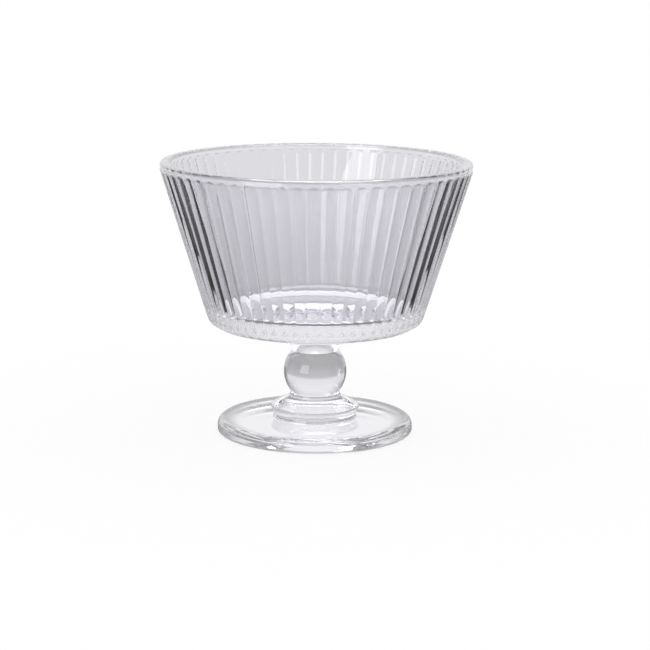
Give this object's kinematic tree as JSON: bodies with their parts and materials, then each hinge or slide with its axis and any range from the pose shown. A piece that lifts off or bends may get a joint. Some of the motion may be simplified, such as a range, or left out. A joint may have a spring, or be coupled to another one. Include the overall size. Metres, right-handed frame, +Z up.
{
  "type": "dessert cup",
  "caption": "Footed clear glass dessert cup: a flared ribbed bowl with a plain round rim on a ball-knop stem and a round foot, for ice cream or fruit.",
  "frame": {"origin": "centre of the foot, on the surface the cup stands on", "axes": "+Z up along the cup's axis; -Y towards the viewer of the picture, +X to the viewer's right"},
  "size_m": [0.104, 0.104, 0.092],
  "materials": {
    "clear_glass": "clear, smooth, fire-polished"
  },
  "bodies": {
    "root": {"foot": "clear_glass", "lower_merese": "clear_glass", "ball_knop": "clear_glass", "upper_merese": "clear_glass", "bowl": "clear_glass"}
  },
  "joints": []
}
